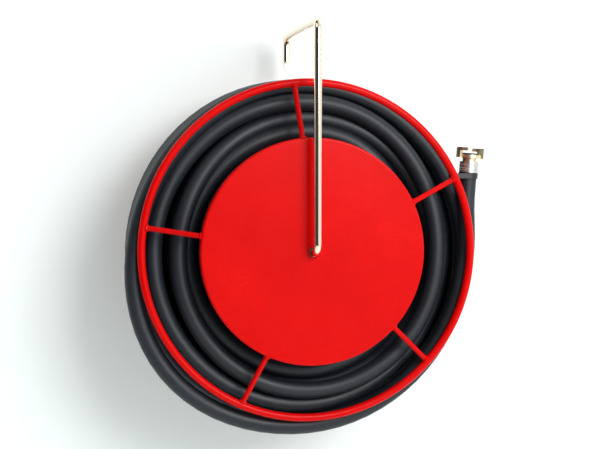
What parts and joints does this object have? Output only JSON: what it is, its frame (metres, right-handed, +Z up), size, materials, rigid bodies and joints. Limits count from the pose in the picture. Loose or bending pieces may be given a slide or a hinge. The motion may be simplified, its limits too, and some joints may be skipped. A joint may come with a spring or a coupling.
{
  "type": "wall-mounted hose reel",
  "caption": "Wall-mounted reel of black rubber hose: red disc, rod spokes and ring on a water-carrying spindle, with a swinging bent-rod hose guide.",
  "frame": {"origin": "middle of the wall plate's back face, on the reel's axis", "axes": "+Z up, +Y into the wall along the reel's axis, +X to the right as seen from the front"},
  "size_m": [0.5705, 0.3165, 0.6396],
  "materials": {
    "red_enamel": "smooth semi-gloss enamel",
    "hose_rubber": "smooth satin rubber cover",
    "brass": "machined, slightly dulled",
    "zinc_steel": "bright zinc plate",
    "chrome_rod": "bright plated rod",
    "nylon": "natural nylon",
    "black_steel": "black-coated spring steel",
    "seal_rubber": "matt nitrile"
  },
  "bodies": {
    "bracket": {"wall_plate": "red_enamel", "bracket_cheek_left": "red_enamel", "bracket_cheek_right": "red_enamel", "face_plate": "red_enamel", "spindle": "brass", "spindle_bolts": "zinc_steel", "spindle_nuts": "zinc_steel", "spindle_seals": "seal_rubber", "thrust_washer": "nylon", "retaining_ring": "zinc_steel", "guide_bush": "nylon", "guide_keeper_pin": "zinc_steel", "inlet_elbow": "brass", "inlet_pipe": "zinc_steel", "inlet_locknut": "brass"},
    "drum": {"rear_disc": "red_enamel", "rear_ring": "red_enamel", "barrel": "red_enamel", "front_disc": "red_enamel", "front_hub": "red_enamel", "front_ring": "red_enamel", "rear_spoke_1": "red_enamel", "rear_spoke_2": "red_enamel", "rear_spoke_3": "red_enamel", "rear_spoke_4": "red_enamel", "rear_spoke_5": "red_enamel", "front_spoke_1": "red_enamel", "front_spoke_2": "red_enamel", "front_spoke_3": "red_enamel", "front_spoke_4": "red_enamel", "front_spoke_5": "red_enamel", "hose_clip": "black_steel", "swivel_body": "brass", "outlet_elbow": "brass", "end_coupling": "brass", "swivel_screws": "zinc_steel", "swivel_nuts": "zinc_steel", "start_ferrule": "zinc_steel", "end_ferrule": "zinc_steel", "swivel_rear_bush": "nylon", "swivel_front_bush": "nylon", "front_bush": "nylon", "coupling_seal": "seal_rubber", "hose_start": "hose_rubber", "hose_pack": "hose_rubber", "hose_slack": "hose_rubber", "hose_free_end": "hose_rubber"},
    "guide_arm": {"guide_rod": "chrome_rod"}
  },
  "joints": [
    {"name": "reel_spin", "type": "hinge", "parent": "bracket", "child": "drum", "pos_m": [0, -0.11, 0], "axis": [0, 1, 0], "continuous": true},
    {"name": "arm_swing", "type": "hinge", "parent": "bracket", "child": "guide_arm", "pos_m": [0, -0.26, 0], "axis": [0, 1, 0], "continuous": true}
  ]
}
